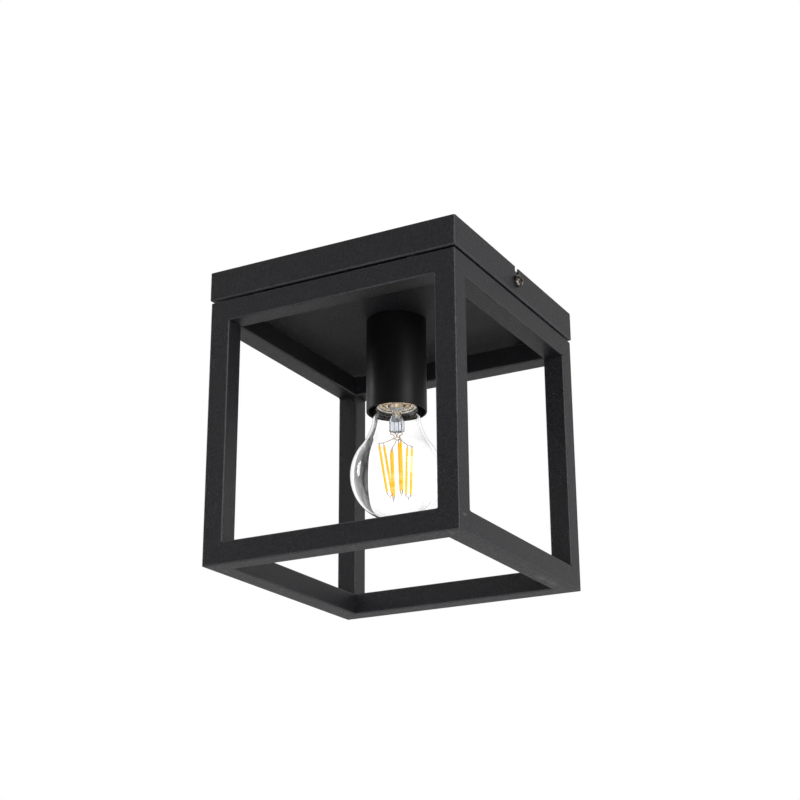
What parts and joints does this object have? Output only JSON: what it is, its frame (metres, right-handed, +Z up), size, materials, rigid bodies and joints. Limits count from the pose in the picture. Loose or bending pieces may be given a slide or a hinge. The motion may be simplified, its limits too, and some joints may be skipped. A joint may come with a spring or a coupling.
{
  "type": "porch ceiling lantern",
  "caption": "Open cube lantern of black square tube under a square ceiling canopy, with a clear filament lamp in a cylindrical lampholder.",
  "frame": {"origin": "middle of the ceiling plane, between the two ceiling screw slots in the bracket's upper face", "axes": "+Z up, out of the ceiling face; +X along the bracket towards the right side screw; +Y to the back"},
  "size_m": [0.1824, 0.1758, 0.1936],
  "materials": {
    "powder_coat": "fine-textured matt powder coat, charcoal black",
    "satin_black": "smooth satin black paint",
    "zinc_plate": "bright zinc-plated steel",
    "nickel_plate": "nickel-plated, softly polished",
    "brass": "plain brass, slightly dulled",
    "nylon": "ivory nylon",
    "phenolic": "black moulded plastic",
    "ceramic": "white glazed ceramic",
    "vitrite": "glossy black lamp-cap glass",
    "clear_glass": "clear blown glass",
    "filament": "amber phosphor coating",
    "circuit_board": "green circuit board",
    "live_insulation": "brown wire insulation",
    "neutral_insulation": "blue wire insulation",
    "earth_insulation": "green and yellow wire insulation"
  },
  "bodies": {
    "bracket": {"mounting_bracket": "zinc_plate", "side_clinch_nuts": "zinc_plate", "bracket_earth_screw": "brass", "bracket_earth_washer": "zinc_plate"},
    "lantern": {"canopy_tray": "powder_coat", "top_rail_front": "powder_coat", "top_rail_back": "powder_coat", "top_rail_left": "powder_coat", "top_rail_right": "powder_coat", "post_front_left": "powder_coat", "post_front_right": "powder_coat", "post_back_left": "powder_coat", "post_back_right": "powder_coat", "bottom_rail_front": "powder_coat", "bottom_rail_back": "powder_coat", "bottom_rail_left": "powder_coat", "bottom_rail_right": "powder_coat", "holder_sleeve": "satin_black", "cage_screws": "zinc_plate", "cage_washers": "zinc_plate", "cage_rivet_nuts": "zinc_plate", "nipple": "zinc_plate", "nipple_washer": "zinc_plate", "holder_terminal_screws": "zinc_plate", "terminal_screws": "zinc_plate", "block_studs": "zinc_plate", "block_nuts": "zinc_plate", "earth_stud": "zinc_plate", "earth_ring_terminal": "zinc_plate", "earth_washer": "zinc_plate", "earth_nut": "zinc_plate", "nipple_nut": "brass", "socket_shell": "brass", "shell_contact": "brass", "centre_contact": "brass", "holder_terminals": "brass", "terminal_tubes": "brass", "nipple_bush": "nylon", "terminal_block": "nylon", "holder_dome": "phenolic", "holder_skirt": "phenolic", "contact_carrier": "ceramic", "live_wire": "live_insulation", "neutral_wire": "neutral_insulation", "earth_wire": "earth_insulation"},
    "lamp_tip": {"lamp_contact": "nickel_plate"},
    "lamp": {"lamp_insulator": "vitrite", "lamp_cap": "nickel_plate", "lamp_driver": "circuit_board", "lead_wires": "nickel_plate", "lamp_glass": "clear_glass", "lamp_stem": "clear_glass", "support_wires": "nickel_plate", "filaments": "filament"},
    "left_washer": {"side_washer_left": "nickel_plate"},
    "left_screw": {"side_screw_left": "nickel_plate"},
    "right_washer": {"side_washer_right": "nickel_plate"},
    "right_screw": {"side_screw_right": "nickel_plate"}
  },
  "joints": [
    {"name": "canopy_drop", "type": "slide", "parent": "bracket", "child": "lantern", "axis": [0, 0, -1], "range_m": [0, 0.03]},
    {"name": "lamp_travel", "type": "slide", "parent": "lantern", "child": "lamp_tip", "axis": [0, 0, -1], "range_m": [0, 0.01452]},
    {"name": "lamp_turn", "type": "hinge", "parent": "lamp_tip", "child": "lamp", "pos_m": [0, 0, -0.1], "axis": [0, 0, -1], "range_deg": [0, 1440]},
    {"name": "left_screw_travel", "type": "slide", "parent": "bracket", "child": "left_washer", "axis": [-1, 0, 0], "range_m": [0, 0.0035]},
    {"name": "left_screw_turn", "type": "hinge", "parent": "left_washer", "child": "left_screw", "pos_m": [-0.088, 0, -0.0095], "axis": [-1, 0, 0], "range_deg": [0, 1800]},
    {"name": "right_screw_travel", "type": "slide", "parent": "bracket", "child": "right_washer", "axis": [1, 0, 0], "range_m": [0, 0.0035]},
    {"name": "right_screw_turn", "type": "hinge", "parent": "right_washer", "child": "right_screw", "pos_m": [0.088, 0, -0.0095], "axis": [1, 0, 0], "range_deg": [0, 1800]}
  ],
  "couplings": [
    {"joint": "lamp_travel", "follows": "lamp_turn", "m_per_rad": 0.00057757},
    {"joint": "left_screw_turn", "follows": "left_screw_travel", "rad_per_m": 8976},
    {"joint": "right_screw_turn", "follows": "right_screw_travel", "rad_per_m": 8976}
  ]
}
